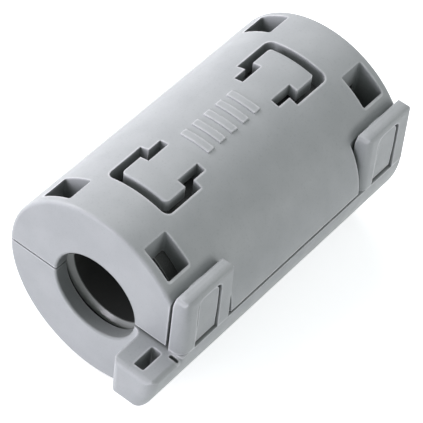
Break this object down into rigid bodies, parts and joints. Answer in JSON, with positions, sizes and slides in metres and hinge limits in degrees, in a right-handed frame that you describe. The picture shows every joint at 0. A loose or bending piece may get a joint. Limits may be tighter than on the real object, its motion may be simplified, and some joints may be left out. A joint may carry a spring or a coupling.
{
  "type": "clip on ferrite bead",
  "caption": "Hinged plastic case that snaps half-round ferrite cores around a round cable, with latches and an ear for a cable tie.",
  "frame": {"origin": "on the axis of the cable bore, halfway along the case, in the plane where the two cores meet", "axes": "+Y along the cable bore, away from the cable-tie ear; +X towards the latches; +Z from the lower half to the upper half"},
  "size_m": [0.0208, 0.036, 0.0199],
  "materials": {
    "case_plastic": "satin moulded polyamide, light grey",
    "ferrite": "ground sintered ferrite, dark grey"
  },
  "bodies": {
    "lower_half": {"lower_case": "case_plastic", "lower_core": "ferrite", "front_hinge_band": "case_plastic", "rear_hinge_band": "case_plastic"},
    "upper_half": {"upper_case": "case_plastic", "upper_core": "ferrite"},
    "front_latch": {"front_latch_arm": "case_plastic"},
    "rear_latch": {"rear_latch_arm": "case_plastic"}
  },
  "joints": [
    {"name": "case_opening", "type": "hinge", "parent": "lower_half", "child": "upper_half", "pos_m": [-0.01095, 0, 0], "axis": [0, -1, 0], "range_deg": [0, 180], "deforming": ["front_hinge_band", "rear_hinge_band", "front_latch_arm", "rear_latch_arm"]},
    {"name": "front_latch_flex", "type": "hinge", "parent": "lower_half", "child": "front_latch", "pos_m": [0.00985, -0.01275, -0.0001], "axis": [0, 1, 0], "range_deg": [0, 14], "stiffness_Nm_per_rad": 0.2},
    {"name": "rear_latch_flex", "type": "hinge", "parent": "lower_half", "child": "rear_latch", "pos_m": [0.00985, 0.01275, -0.0001], "axis": [0, 1, 0], "range_deg": [0, 14], "stiffness_Nm_per_rad": 0.2}
  ]
}
